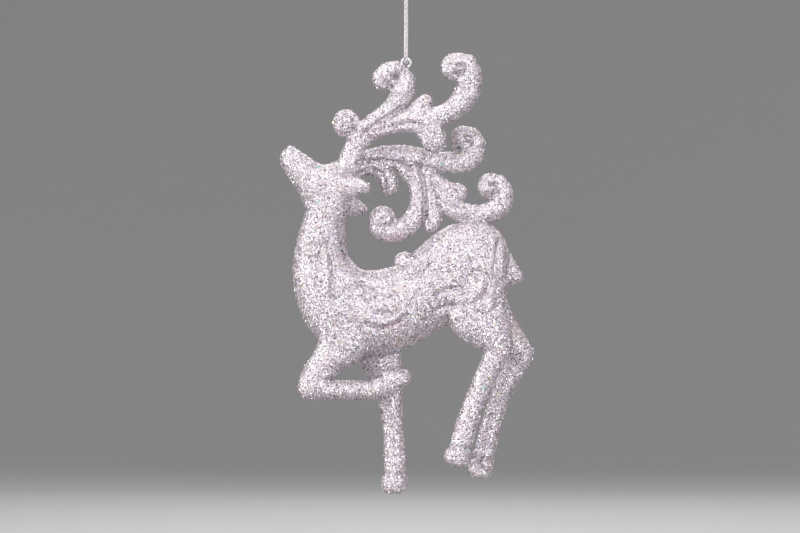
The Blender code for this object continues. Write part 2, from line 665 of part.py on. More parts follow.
curl_x, curl_z = CURL_OPENING
curl_reach = SCROLL_DEPTH_MAX + GAP
curl_opening = rod((curl_x, -curl_reach, curl_z), (curl_x, curl_reach, curl_z), CURL_OPENING_RADIUS)
left_cuts = [head_room, add_guide("curl_opening", curl_opening, eye_pivot)]
left_antler = make_antler("antler_left", LEFT_SCROLLS, LEFT_CURLS, lean_left, left_cuts, eye_pivot)
combine(left_antler, "UNION", [pegs["antler_left"]])
make_eye(left_antler, eye_pivot)
right_antler = make_antler(
    "antler_right", RIGHT_SCROLLS, RIGHT_CURLS, lean_right, [head_room, trunk_room], eye_pivot
)
combine(right_antler, "UNION", [pegs["antler_right"]])

left_ear_y = tuple(-y for y in EAR_Y)
make_trimmed("ear_left", LEFT_EAR, left_ear_y, LEFT_EAR_TIP, [head_room], pegs["ear_left"], eye_pivot)
make_trimmed("ear_right", RIGHT_EAR, EAR_Y, RIGHT_EAR_TIP, [head_room], pegs["ear_right"], eye_pivot)
make_trimmed("tail", TAIL, (0.0, 0.0), TAIL_TIP, [trunk_room], pegs["tail"], eye_pivot)
for limb_name, limb_shape in LIMBS.items():
    make_leg(limb_name, limb_shape, pegs[limb_name], eye_pivot)
make_cord(hook_point)
make_knot(hook_point)
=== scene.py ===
"""Looks of the hanging reindeer ornament: silver glitter over moulded plastic, on a twisted metallic cord.

Lengths on the ornament are in millimetres until a mesh is made, and MM turns them into metres. The camera,
the room and the lights are in metres. Outlines in the XZ plane are measured from the middle of the eye.
"""

import json
import math
from collections import namedtuple

import bmesh
import bpy
import numpy as np
from mathutils import Matrix, Vector
from mathutils.bvhtree import BVHTree

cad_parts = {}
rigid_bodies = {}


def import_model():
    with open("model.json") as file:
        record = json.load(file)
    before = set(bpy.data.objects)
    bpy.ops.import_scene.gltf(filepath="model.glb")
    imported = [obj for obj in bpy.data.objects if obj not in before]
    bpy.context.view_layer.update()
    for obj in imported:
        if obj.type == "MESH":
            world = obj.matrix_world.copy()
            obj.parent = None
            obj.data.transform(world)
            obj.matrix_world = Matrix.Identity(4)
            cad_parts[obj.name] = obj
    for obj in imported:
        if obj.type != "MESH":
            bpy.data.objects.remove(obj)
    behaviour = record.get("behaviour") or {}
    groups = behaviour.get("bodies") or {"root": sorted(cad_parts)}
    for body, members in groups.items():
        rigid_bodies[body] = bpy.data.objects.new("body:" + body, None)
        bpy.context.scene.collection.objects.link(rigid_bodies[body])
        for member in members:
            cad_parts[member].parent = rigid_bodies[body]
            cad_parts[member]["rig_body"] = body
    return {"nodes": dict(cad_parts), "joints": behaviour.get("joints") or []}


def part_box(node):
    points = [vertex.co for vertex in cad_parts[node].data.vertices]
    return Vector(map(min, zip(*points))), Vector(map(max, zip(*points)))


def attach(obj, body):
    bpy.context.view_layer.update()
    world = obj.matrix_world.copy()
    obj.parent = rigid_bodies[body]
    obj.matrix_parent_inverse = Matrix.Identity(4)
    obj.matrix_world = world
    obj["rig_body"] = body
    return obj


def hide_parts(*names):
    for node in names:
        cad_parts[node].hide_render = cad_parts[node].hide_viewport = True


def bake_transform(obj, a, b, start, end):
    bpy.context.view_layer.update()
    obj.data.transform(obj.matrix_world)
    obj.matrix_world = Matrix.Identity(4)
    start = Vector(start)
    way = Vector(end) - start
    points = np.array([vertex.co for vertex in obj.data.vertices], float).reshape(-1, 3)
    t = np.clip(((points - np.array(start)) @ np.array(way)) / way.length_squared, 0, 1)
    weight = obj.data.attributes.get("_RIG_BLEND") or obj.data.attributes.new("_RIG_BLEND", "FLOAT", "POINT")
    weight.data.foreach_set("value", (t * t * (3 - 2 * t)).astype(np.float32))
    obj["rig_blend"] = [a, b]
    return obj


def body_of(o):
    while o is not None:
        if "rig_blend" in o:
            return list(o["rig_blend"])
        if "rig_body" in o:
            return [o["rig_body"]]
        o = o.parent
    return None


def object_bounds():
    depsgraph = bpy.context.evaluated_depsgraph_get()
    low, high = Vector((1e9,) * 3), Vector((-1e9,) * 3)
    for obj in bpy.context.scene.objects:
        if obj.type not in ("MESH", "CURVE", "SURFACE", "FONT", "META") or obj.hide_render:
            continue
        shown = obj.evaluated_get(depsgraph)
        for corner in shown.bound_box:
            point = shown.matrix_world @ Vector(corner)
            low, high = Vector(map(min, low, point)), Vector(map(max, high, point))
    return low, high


MM = 0.001

# View: level with the ornament, square to its left side, through a long lens.
PICTURE_WIDTH = 254.0 * MM  # at the ornament
PICTURE_CENTRE = Vector((-1.9, 0.0, -88.6)) * MM
CAMERA_DISTANCE = 1.5
SENSOR_WIDTH = 36.0
CLIP_END = 20.0

# Room: a round floor that curves up into a wall behind every viewpoint.
FLOOR_DROP = 60.0 * MM  # below the lowest hoof
FLOOR_RADIUS = 1.3
COVE_RADIUS = 1.2
COVE_STEPS = 16
WALL_HEIGHT = 0.3
ROOM_SIDES = 96
ROOM_WELD = 0.1 * MM
ROOM_SHADES = ((0.27, 0.268, 0.266), (0.29, 0.288, 0.286))

# Softboxes: name, place from the middle of the view, width, power in watts and colour.
SOFTBOXES = (
    ("key", (-1.15, -0.75, 0.2), 0.8, 6.8, (1.0, 0.985, 0.99)),
    ("fill", (0.75, -1.05, 0.1), 0.8, 4.4, (0.985, 0.97, 1.0)),
    ("top", (0.0, -0.1, 1.2), 0.8, 1.8, (1.0, 1.0, 1.0)),
    ("back", (0.05, 1.35, 0.55), 0.9, 5.6, (0.99, 0.99, 1.0)),
)
SOFTBOX_SPREAD = math.radians(110)
SURROUND_COLOUR = (0.95, 0.94, 0.96)

# Cord: the same route as its solid, carried on into the knot.
CORD_BEND = 2.75  # radius of the turn through the eye
CORD_LEG = ((0.95, 0.6), (0.95, 0.0), (1.05, -6.0), (1.5, -12.0), (2.3, -17.0))  # y and z
CORD_TURN_POINTS = 7
CORD_PITCH = 4.7  # length of one full twist
STRANDS = 3
STRAND_RADIUS = 0.275
STRAND_OFFSET = 0.41  # from the cord's middle line
# dark tube inside the strands; its colour is painted shade for the grooves of the twist
SHADE_CORE_RADIUS = 0.3
STRAND_SIDES = 10
STRAND_STEP = 0.25

# Knot: two round turns about both legs of the cord, whose cut ends stand out above.
KNOT_LEG = ((0.0, 0.95, 0.0), (0.25, 0.7, 1.6), (0.1, 0.6, 3.4))  # the leg on the +Y side, from the bottom
KNOT_MIDDLE = (0.0, 0.0, 2.2)
KNOT_BOW = (0.0, 0.2, 0.8)  # how far the way to the cut end bows out
KNOT_END_SPREAD = 2.1  # each cut end from the middle plane
KNOT_END_DROP = 0.6  # below the top of the solid knot
KNOT_END_SHARE = 0.95  # of the solid knot's reach
KNOT_TURNS = ((1.35, 0.35), (2.75, -0.4))  # height and tilt
KNOT_TURN_RADII = (1.3, 1.35)
KNOT_TURN_PHASE = 0.6  # radians by which the direction of the tilt is turned
KNOT_TURN_STEPS = 48

# Hanging eye.
EYE_SEGMENTS = 48
EYE_WALL_SIDES = 16
EYE_WALL_SHARE = 0.2  # half of the ring's wall, over its outer radius
TONGUE_SHARES = (0.5, 0.8)  # of the solid eye's width and depth

# Glitter coat.
COAT = 0.2  # thickness over the bare plastic
WELD = 0.002  # corners closer than this are one
VOXEL = 0.36
SMOOTHING_PASSES = 100
SMOOTH_IN, SMOOTH_OUT = 0.6, -0.62  # a shrinking and a growing step, which together keep the volume
GRAIN = 0.055  # random height of the coat
RELIEF_RISE, RELIEF_FADE = 1.6, 0.3  # how the moulded lines fade as the skin turns away from the side
LINE_STEPS = 3  # points on a line within its own width
LINE_REACH = 3  # widths from a line beyond which it leaves no mark
FLAKES_PER_MM2 = 7.4
FLAKE_SIDES = 6
FLAKE_RADIUS = (0.13, 0.2)
FLAKE_TILT = 0.5  # spread of a flake's facing about the coat's own
FLAKE_LIFT = (0.01, 0.3)  # height of the flakes over the coat
FLAKE_LIFT_POWER = 4  # the higher it is, the more flakes lie low

Stroke = namedtuple("Stroke", "height width points")

# Raised and sunk lines of the moulding, as x, z points; a negative height is a groove.
BODY_RELIEF = (
    # scroll and mane on the side of the neck
    Stroke(-0.55, 0.75, ((-31.4, -58.4), (-29.2, -57.5), (-27.2, -58.6), (-26.8, -60.8), (-28.2, -62.2))),
    Stroke(0.7, 1.3, ((-30.6, -60.4), (-30.2, -60.4))),
    Stroke(-0.45, 0.9, ((-25.8, -54.0), (-24.2, -59.0), (-22.8, -65.0), (-23.2, -70.5), (-22.6, -76.0))),
    Stroke(0.6, 1.0, ((-26.6, -56.6), (-25.3, -62.0), (-24.8, -68.0), (-24.5, -75.0), (-23.4, -82.0),
                      (-23.8, -88.0))),
    # two scrolls on the flank
    Stroke(-0.5, 0.8, ((-18.2, -71.2), (-15.0, -70.2), (-11.5, -69.8), (-9.3, -72.0), (-9.6, -74.6),
                       (-11.8, -75.0), (-13.2, -73.6))),
    Stroke(0.5, 1.0, ((-12.8, -72.2), (-12.2, -72.2))),
    Stroke(-0.5, 0.8, ((-8.8, -79.0), (-5.2, -79.6), (-2.2, -78.2), (-1.3, -75.6), (-3.0, -73.2),
                       (-4.8, -73.6))),
    Stroke(0.4, 1.1, ((-7.0, -73.6), (-6.4, -72.8))),
    # long line under the scrolls, up to the back
    Stroke(-0.22, 1.0, ((-15.5, -82.0), (-12.0, -83.8), (-8.0, -84.4), (-4.0, -83.2), (-0.6, -80.6),
                        (1.2, -77.0), (3.2, -73.0), (5.8, -69.6), (7.2, -66.8))),
    Stroke(0.35, 1.0, ((-13.0, -81.2), (-8.0, -82.3), (-4.0, -81.3), (-1.0, -78.6), (0.8, -75.0),
                       (3.6, -70.6))),
    # lines fanning out from the back
    Stroke(-0.55, 0.8, ((0.0, -67.8), (3.4, -67.0), (6.2, -65.4), (9.2, -62.6))),
    Stroke(-0.5, 0.8, ((2.2, -66.2), (2.9, -63.6), (2.4, -61.4))),
    Stroke(0.4, 0.9, ((0.4, -65.6), (4.0, -65.3), (8.0, -62.9))),
    # spiral on the haunch, and the lines beside it
    Stroke(-0.45, 0.9, ((9.6, -78.8), (13.0, -77.4), (17.0, -76.8), (21.0, -76.4), (24.4, -74.4),
                        (26.4, -71.0), (25.8, -67.6), (23.0, -66.2), (20.2, -67.4), (19.4, -70.0))),
    Stroke(0.6, 1.2, ((22.6, -72.4), (23.6, -71.6))),
    Stroke(-0.6, 1.0, ((20.4, -62.8), (20.9, -62.8))),
    Stroke(-0.4, 0.8, ((10.2, -73.6), (13.0, -72.0), (16.6, -71.4))),
    Stroke(-0.45, 0.8, ((22.8, -79.0), (25.6, -79.6), (28.4, -78.0), (29.2, -75.0))),
    # crease in front of the tail
    Stroke(-0.6, 0.8, ((29.6, -56.5), (28.9, -60.5), (28.3, -65.0), (28.8, -68.0), (30.2, -69.6))),
)
ANTLER_RELIEF = (
    # upper antler: its stem, its two tall curls and the small one over the face
    Stroke(-0.8, 0.75, ((-13.2, -21.9), (-9.0, -19.2), (-5.0, -17.0), (-2.0, -14.9), (0.2, -14.0))),
    Stroke(-0.5, 0.8, ((-8.0, -21.3), (-3.0, -20.1), (2.0, -19.5), (5.2, -20.2))),
    Stroke(-0.9, 0.8, ((15.4, -3.9), (17.2, -3.4), (18.6, -2.2), (18.2, -0.9), (16.9, -0.8))),
    Stroke(-0.7, 0.7, ((-4.9, -7.6), (-6.6, -6.6), (-7.9, -5.2), (-7.4, -3.8))),
    Stroke(-0.7, 0.7, ((-16.6, -22.0), (-16.1, -19.2), (-17.2, -17.2), (-19.2, -17.0), (-20.1, -18.4),
                       (-19.3, -19.4))),
    # lower antler: its stem and branches
    Stroke(-0.8, 0.8, ((-14.5, -31.5), (-8.0, -31.1), (-2.6, -31.9), (1.6, -33.4))),
    Stroke(-0.8, 0.75, ((4.6, -33.4), (5.8, -38.0), (6.1, -43.0), (6.1, -49.0))),
    Stroke(-0.7, 0.7, ((6.8, -35.6), (9.4, -39.8), (10.8, -45.6))),
    Stroke(-0.6, 0.7, ((8.2, -35.6), (12.0, -39.4), (15.2, -41.6), (16.8, -41.0), (16.2, -39.9))),
    Stroke(-0.7, 0.8, ((10.6, -42.2), (14.0, -44.4), (18.0, -45.2))),
    Stroke(-0.5, 0.7, ((-11.0, -33.6), (-8.0, -35.0), (-6.6, -37.6), (-6.4, -40.4))),
    # lower antler: its three curls
    Stroke(-0.9, 0.8, ((16.2, -27.6), (18.2, -26.2), (20.2, -25.6), (20.8, -24.2), (19.4, -23.3))),
    Stroke(-0.9, 0.8, ((26.6, -43.0), (28.2, -41.2), (29.3, -39.8), (28.4, -38.4), (27.0, -38.4))),
    Stroke(-0.5, 0.8, ((-3.6, -50.6), (-5.4, -52.2), (-7.4, -51.9), (-8.0, -50.2), (-6.8, -49.2))),
)
# tendon of the raised foreleg
RAISED_LEG_RELIEF = (
    Stroke(-0.55, 0.7, ((-9.0, -96.5), (-8.0, -100.5), (-7.0, -107.0))),
    Stroke(0.35, 1.0, ((-7.0, -96.5), (-6.0, -100.5), (-5.0, -106.0))),
)
# groove and raised rim round the hoof of the standing foreleg, then of each hind leg
LEG_RELIEF = (
    Stroke(-0.55, 0.6, ((-8.6, -130.4), (1.0, -130.4))),
    Stroke(0.25, 0.9, ((-8.6, -132.2), (1.0, -132.2))),
    Stroke(-0.55, 0.6, ((11.4, -121.4), (22.4, -122.5))),
    Stroke(0.2, 0.9, ((11.0, -123.2), (22.2, -124.3))),
    Stroke(-0.55, 0.6, ((19.4, -125.2), (30.0, -126.2))),
    Stroke(0.2, 0.9, ((19.2, -127.0), (29.8, -128.0))),
)
# Name's start: how far the lines stand out, whether they go all round, and the lines.
RELIEF = {
    "body": (1.6, False, BODY_RELIEF),
    "antler": (1.5, False, ANTLER_RELIEF),
    "foreleg_left": (1.2, True, RAISED_LEG_RELIEF),
    "foreleg_right": (1.0, True, LEG_RELIEF),
    "hind": (1.0, True, LEG_RELIEF),
}

# Flake finishes: name, colour, roughness, share of all flakes, size over the usual.
FLAKE_FINISHES = (
    ("silver", (0.88, 0.83, 0.86), 0.42, 0.36, 1.0),
    ("bright", (0.99, 0.97, 0.98), 0.40, 0.31, 1.0),
    ("grey", (0.06, 0.04, 0.055), 0.45, 0.24, 0.95),
    ("rose", (0.84, 0.54, 0.64), 0.36, 0.03, 1.0),
    ("violet", (0.62, 0.56, 0.90), 0.36, 0.03, 1.0),
    ("amber", (0.88, 0.68, 0.52), 0.36, 0.02, 1.0),
    ("gold", (0.92, 0.84, 0.30), 0.30, 0.0008, 2.0),
    ("green", (0.16, 0.80, 0.46), 0.30, 0.0004, 2.0),
    ("orange", (0.94, 0.50, 0.26), 0.30, 0.0004, 1.8),
    ("blue", (0.36, 0.70, 0.95), 0.30, 0.0005, 2.0),
)
FLAKE_METALLIC = 0.85
TINT_PATCHES = 90  # over the whole reindeer, where flakes of one tint gather
TINT_PATCH_RADIUS = (0.8, 2.8)
TINT_STRENGTH = 0.45
TINT_SHARES = {"rose": 0.5, "violet": 0.25, "amber": 0.25}

# Coat under the flakes, and the other materials. Shades give the start of a step of the ramp, and its colour.
COAT_CELL = 0.22  # size of a flake
COAT_SHADES = (
    (0.0, (0.22, 0.18, 0.21)),
    (0.24, (0.66, 0.60, 0.64)),
    (0.52, (0.94, 0.90, 0.92)),
    (0.92, (0.82, 0.62, 0.70)),
    (0.955, (0.64, 0.59, 0.84)),
    (0.985, (0.84, 0.74, 0.42)),
)
COAT_ROUGHNESS = (0.28, 0.55)
COAT_TILT = 0.9
COAT_METALLIC = 0.7
THREAD_FILAMENT = 0.16
THREAD_SHADES = ((0.0, (0.46, 0.43, 0.445)), (0.40, (0.74, 0.71, 0.725)), (0.52, (0.96, 0.94, 0.95)))
THREAD_BUMP = 0.05
THREAD_METALLIC = 0.8
THREAD_ROUGHNESS = 0.38
SHADE_CORE_FIBRE = 0.3
# near-black colours of the core tube: painted shade between the strands
SHADE_CORE_COLOURS = ((0.0, (0.07, 0.065, 0.07)), (0.5, (0.13, 0.12, 0.125)))
SHADE_CORE_ROUGHNESS = 0.7
PLASTIC_COLOUR = (0.86, 0.85, 0.87)
PLASTIC_FLOW = 1.2  # size of the moulding's ripples
PLASTIC_BUMP = 0.1
PLASTIC_ROUGHNESS = 0.15
PLASTIC_TRANSMISSION = 0.75
PLASTIC_IOR = 1.49
ROOM_MOTTLE = 2.2  # spots per metre
ROOM_ROUGHNESS = 0.75

RANDOM = np.random.default_rng(11)
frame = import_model()
cad_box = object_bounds()
EYE = next(Vector(joint["pos_m"]) for joint in frame["joints"] if joint["name"] == "eye_rock")


def spline(stations, spacing):
    """Rows of numbers about `spacing` apart on a smooth curve through the stations."""
    rows = np.array(stations, dtype=float)
    padded = np.vstack([2 * rows[0] - rows[1], rows, 2 * rows[-1] - rows[-2]])
    smooth = []
    for before, start, end, after in zip(padded, padded[1:], padded[2:], padded[3:]):
        steps = max(1, round(float(np.linalg.norm(end - start)) / spacing))
        for step in range(steps):
            t = step / steps
            bend = (2 * before - 5 * start + 4 * end - after) * t**2
            twist = (3 * start - before - 3 * end + after) * t**3
            smooth.append(0.5 * (2 * start + (end - before) * t + bend + twist))
    smooth.append(rows[-1])
    return np.array(smooth)


def link(name, data):
    """New object in the scene, around a mesh, a camera or a light."""
    holder = bpy.data.objects.new(name, data)
    bpy.context.scene.collection.objects.link(holder)
    return holder


def mesh_from_bmesh(name, bm):
    mesh = bpy.data.meshes.new(name)
    bm.to_mesh(mesh)
    bm.free()
    mesh.shade_smooth()
    return mesh


def bridge(bm, rings):
    """Faces between each ring of vertices and the next."""
    for ring, following in zip(rings, rings[1:]):
        for corner in range(len(ring)):
            after = (corner + 1) % len(ring)
            bm.faces.new((ring[corner], ring[after], following[after], following[corner]))


def coordinates(mesh):
    places = np.empty(len(mesh.vertices) * 3)
    mesh.vertices.foreach_get("co", places)
    return places.reshape(-1, 3)


def set_coordinates(mesh, places):
    mesh.vertices.foreach_set("co", places.ravel())
    mesh.update()


def quad_corners(mesh):
    """The four vertices of each face of a mesh of quads."""
    corners = np.empty(len(mesh.loops), dtype=np.int64)
    mesh.loops.foreach_get("vertex_index", corners)
    return corners.reshape(-1, 4)


# Materials

def new_material(name):
    material = bpy.data.materials.new(name)
    material.use_nodes = True
    return material, material.node_tree, material.node_tree.nodes["Principled BSDF"]


def add_node(tree, kind, **values):
    """Node with its input sockets set by name."""
    node = tree.nodes.new(kind)
    for socket, value in values.items():
        node.inputs[socket].default_value = value
    return node


def vector_math(tree, operation, first, second=None, scale=None):
    node = tree.nodes.new("ShaderNodeVectorMath")
    node.operation = operation
    tree.links.new(first, node.inputs[0])
    if isinstance(second, tuple):
        node.inputs[1].default_value = second
    elif second is not None:
        tree.links.new(second, node.inputs[1])
    if scale is not None:
        node.inputs["Scale"].default_value = scale
    return node.outputs["Vector"]


def object_place(tree):
    return tree.nodes.new("ShaderNodeTexCoord").outputs["Object"]


def noise(tree, scale, detail):
    texture = add_node(tree, "ShaderNodeTexNoise", Scale=scale, Detail=detail)
    tree.links.new(object_place(tree), texture.inputs["Vector"])
    return texture.outputs["Fac"]


def add_bump(tree, shader, height, strength, depth):
    bump = add_node(tree, "ShaderNodeBump", Strength=strength, Distance=depth)
    tree.links.new(height, bump.inputs["Height"])
    tree.links.new(bump.outputs["Normal"], shader.inputs["Normal"])


def stepped_ramp(tree, factor, stops):
    """Colour that jumps from one shade to the next as the factor grows."""
    ramp = tree.nodes.new("ShaderNodeValToRGB")
    ramp.color_ramp.interpolation = "CONSTANT"
    elements = ramp.color_ramp.elements
    while len(elements) < len(stops):
        elements.new(0.5)
    for element, (position, colour) in zip(elements, stops):
        element.position = position
        element.color = (*colour, 1.0)
    tree.links.new(factor, ramp.inputs["Fac"])
    return ramp.outputs["Color"]


def glitter_coat_material(name):
    """Packed glitter: each cell is a flake with its own tilt, shade and gloss."""
    material, tree, shader = new_material(name)
    cells = add_node(tree, "ShaderNodeTexVoronoi", Scale=1.0 / (COAT_CELL * MM), Randomness=1.0)
    tree.links.new(object_place(tree), cells.inputs["Vector"])
    parts = tree.nodes.new("ShaderNodeSeparateColor")
    tree.links.new(cells.outputs["Color"], parts.inputs["Color"])
    tree.links.new(stepped_ramp(tree, parts.outputs["Red"], COAT_SHADES), shader.inputs["Base Color"])
    gloss = add_node(tree, "ShaderNodeMapRange")
    gloss.inputs["To Min"].default_value, gloss.inputs["To Max"].default_value = COAT_ROUGHNESS
    tree.links.new(parts.outputs["Green"], gloss.inputs["Value"])
    tree.links.new(gloss.outputs["Result"], shader.inputs["Roughness"])

    centred = vector_math(tree, "SUBTRACT", cells.outputs["Color"], (0.5, 0.5, 0.5))
    tilt = vector_math(tree, "SCALE", centred, scale=COAT_TILT)
    normal = tree.nodes.new("ShaderNodeNewGeometry").outputs["Normal"]
    tilted = vector_math(tree, "NORMALIZE", vector_math(tree, "ADD", normal, tilt))
    tree.links.new(tilted, shader.inputs["Normal"])
    shader.inputs["Metallic"].default_value = COAT_METALLIC
    return material


def flake_materials():
    materials = []
    for name, colour, roughness, _, _ in FLAKE_FINISHES:
        material, _, shader = new_material("flake_" + name)
        shader.inputs["Base Color"].default_value = (*colour, 1.0)
        shader.inputs["Metallic"].default_value = FLAKE_METALLIC
        shader.inputs["Roughness"].default_value = roughness
        materials.append(material)
    return materials


def metallic_thread_material():
    """Silver film thread: fine filaments catch the light."""
    material, tree, shader = new_material("metallic_thread")
    filaments = noise(tree, 1.0 / (THREAD_FILAMENT * MM), detail=3.0)
    tree.links.new(stepped_ramp(tree, filaments, THREAD_SHADES), shader.inputs["Base Color"])
    add_bump(tree, shader, filaments, strength=0.5, depth=THREAD_BUMP * MM)
    shader.inputs["Metallic"].default_value = THREAD_METALLIC
    shader.inputs["Roughness"].default_value = THREAD_ROUGHNESS
    return material


def painted_shade_core_material():
    """Dark core tube inside the strands; its near-black colour is painted shade, seen in the grooves of the
    twist.
    """
    material, tree, shader = new_material("painted_shade_core")
    fibres = noise(tree, 1.0 / (SHADE_CORE_FIBRE * MM), detail=2.0)
    tree.links.new(stepped_ramp(tree, fibres, SHADE_CORE_COLOURS), shader.inputs["Base Color"])
    shader.inputs["Roughness"].default_value = SHADE_CORE_ROUGHNESS
    return material


def clear_plastic_material():
    material, tree, shader = new_material("clear_plastic")
    ripples = noise(tree, 1.0 / (PLASTIC_FLOW * MM), detail=2.0)
    add_bump(tree, shader, ripples, strength=0.2, depth=PLASTIC_BUMP * MM)
    shader.inputs["Base Color"].default_value = (*PLASTIC_COLOUR, 1.0)
    shader.inputs["Roughness"].default_value = PLASTIC_ROUGHNESS
    shader.inputs["Transmission Weight"].default_value = PLASTIC_TRANSMISSION
    shader.inputs["IOR"].default_value = PLASTIC_IOR
    return material


def room_material():
    material, tree, shader = new_material("pale_room")
    mix = tree.nodes.new("ShaderNodeMix")
    mix.data_type = "RGBA"
    tree.links.new(noise(tree, ROOM_MOTTLE, detail=4.0), mix.inputs["Factor"])
    for socket, shade in zip("AB", ROOM_SHADES):
        mix.inputs[socket].default_value = (*shade, 1.0)
    tree.links.new(mix.outputs["Result"], shader.inputs["Base Color"])
    shader.inputs["Roughness"].default_value = ROOM_ROUGHNESS
    return material


# View, room and light

def make_camera():
    camera = bpy.data.cameras.new("camera")
    camera.sensor_width = SENSOR_WIDTH
    camera.lens = SENSOR_WIDTH * CAMERA_DISTANCE / PICTURE_WIDTH
    camera.clip_end = CLIP_END
    holder = link("camera", camera)
    holder.location = PICTURE_CENTRE + Vector((0.0, -CAMERA_DISTANCE, 0.0))
    holder.rotation_euler = (math.pi / 2, 0.0, 0.0)
    bpy.context.scene.camera = holder


def make_room(floor_height):
    """Round floor whose edge curves up into a wall."""
    profile = [(0.0, 0.0), (FLOOR_RADIUS, 0.0)]
    for angle in np.linspace(0.0, math.pi / 2, COVE_STEPS + 1)[1:]:
        radius = FLOOR_RADIUS + COVE_RADIUS * math.sin(angle)
        profile.append((radius, COVE_RADIUS * (1.0 - math.cos(angle))))
    profile.append((FLOOR_RADIUS + COVE_RADIUS, COVE_RADIUS + WALL_HEIGHT))
    bm = bmesh.new()
    line = [bm.verts.new((radius, 0.0, height + floor_height)) for radius, height in profile]
    edges = [bm.edges.new(pair) for pair in zip(line, line[1:])]
    bmesh.ops.spin(bm, geom=line + edges, cent=(0, 0, 0), axis=(0, 0, 1), angle=2 * math.pi,
                   steps=ROOM_SIDES, use_merge=True, use_normal_flip=True)
    bmesh.ops.remove_doubles(bm, verts=bm.verts, dist=ROOM_WELD)
    room = link("pale_room", mesh_from_bmesh("pale_room", bm))
    room.data.materials.append(room_material())


def add_softbox(name, place, size, power, colour):
    """Square soft light aimed at the middle of the view."""
    light = bpy.data.lights.new(name, "AREA")
    light.shape = "SQUARE"
    light.size = size
    light.energy = power
    light.color = colour
    light.spread = SOFTBOX_SPREAD
    holder = link(name, light)
    holder.location = PICTURE_CENTRE + Vector(place)
    holder.rotation_euler = (-Vector(place)).to_track_quat("-Z", "Y").to_euler()
    holder.visible_camera = False


def make_lights():
    for softbox in SOFTBOXES:
        add_softbox(*softbox)
    world = bpy.data.worlds.new("soft_surround")
    world.use_nodes = True
    surround = world.node_tree.nodes["Background"]
    surround.inputs["Color"].default_value = (*SURROUND_COLOUR, 1.0)
    surround.inputs["Strength"].default_value = 1.0
    bpy.context.scene.world = world
    bpy.context.scene.view_settings.view_transform = "Standard"


# Cord and knot

def cord_route():
    """Middle line of the cord, in metres: down in front, through the eye and up behind."""
    turn_height = CORD_BEND + EYE.z / MM
    turn = [
        (CORD_BEND * math.cos(angle), turn_height - CORD_BEND * math.sin(angle))
        for angle in np.linspace(0.0, math.pi, CORD_TURN_POINTS)
    ]
    down = [(-y, z) for y, z in CORD_LEG] + [(-y, z) for y, z in turn]
    up = list(CORD_LEG)[::-1]
    return [Vector((0.0, y, z)) * MM for y, z in spline(down + up, STRAND_STEP)]


def transported_frames(path):
    """Point and two square directions at each point of a path, turned as little as possible."""
    tangents = []
    for index in range(len(path)):
        ahead = path[min(index + 1, len(path) - 1)] - path[max(index - 1, 0)]
        tangents.append(ahead.normalized())
    across = tangents[0].orthogonal().normalized()
    frames = []
    for point, tangent, previous in zip(path, tangents, [tangents[0]] + tangents):
        across = previous.rotation_difference(tangent) @ across
        across = (across - tangent * across.dot(tangent)).normalized()
        frames.append((point, across, tangent.cross(across)))
    return frames


def add_tube(bm, middles, radius):
    """Closed tube round a line of points."""
    rings = []
    for point, across, upward in transported_frames(middles):
        ring = []
        for corner in range(STRAND_SIDES):
            angle = 2 * math.pi * corner / STRAND_SIDES
            outward = across * math.cos(angle) + upward * math.sin(angle)
            ring.append(bm.verts.new(point + outward * radius))
        rings.append(ring)
    bridge(bm, rings)
    bm.faces.new(rings[0][::-1])
    bm.faces.new(rings[-1])


def twisted_cord(name, paths):
    """Mesh of plied strands along each of the paths."""
    bm = bmesh.new()
    for path in paths:
        frames = transported_frames(path)
        travelled = np.concatenate([[0.0], np.cumsum([(b - a).length for a, b in zip(path, path[1:])])])
        for strand in range(STRANDS):
            middles = []
            for (point, across, upward), distance in zip(frames, travelled):
                angle = 2 * math.pi * (strand / STRANDS + distance / (CORD_PITCH * MM))
                outward = across * math.cos(angle) + upward * math.sin(angle)
                middles.append(point + outward * STRAND_OFFSET * MM)
            add_tube(bm, middles, STRAND_RADIUS * MM)
        # the core tube takes the second finish, whose dark colour is painted shade in the grooves
        first_shade_core_face = len(bm.faces)
        add_tube(bm, path, SHADE_CORE_RADIUS * MM)
        bm.faces.ensure_lookup_table()
        for face in bm.faces[first_shade_core_face:]:
            face.material_index = 1
    bmesh.ops.recalc_face_normals(bm, faces=bm.faces)
    return mesh_from_bmesh(name, bm)


def knot_paths():
    """Knot of the doubled cord: each leg up to its cut end, and two round turns about both."""
    low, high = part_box("cord_knot")
    paths = []
    for side, end_x in ((-1.0, low.x), (1.0, high.x)):
        end = Vector((end_x, side * KNOT_END_SPREAD * MM, high.z - KNOT_END_DROP * MM)) * KNOT_END_SHARE
        stations = [Vector((x, side * y, z)) * MM for x, y, z in KNOT_LEG]
        bow_x, bow_y, bow_z = KNOT_BOW
        halfway = (Vector(KNOT_MIDDLE) * MM + end) / 2
        stations.append(halfway + Vector((bow_x, side * bow_y, bow_z)) * MM)
        stations.append(end)
        paths.append([Vector(row) for row in spline([tuple(place) for place in stations], STRAND_STEP * MM)])
    reach_x, reach_y = KNOT_TURN_RADII
    for height, tilt in KNOT_TURNS:
        turn = []
        for angle in np.linspace(0.0, 2 * math.pi, KNOT_TURN_STEPS + 1):
            lift = tilt * math.sin(angle + KNOT_TURN_PHASE)
            turn.append(Vector((reach_x * math.cos(angle), reach_y * math.sin(angle), height + lift)) * MM)
        paths.append(turn)
    return paths


def make_cord():
    finishes = (metallic_thread_material(), painted_shade_core_material())
    knot = link("tied_knot", twisted_cord("tied_knot", knot_paths()))
    for finish in finishes:
        knot.data.materials.append(finish)
    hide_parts("cord_knot")
    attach(knot, "hanger")

    route = cord_route()
    cord = link("twisted_cord", twisted_cord("twisted_cord", [route]))
    for finish in finishes:
        cord.data.materials.append(finish)
    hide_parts("hanging_cord")
    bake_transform(cord, "hanger", "cord", start=(0.0, 0.0, 0.0), end=(0.0, 0.0, -16.0 * MM))


# Glitter

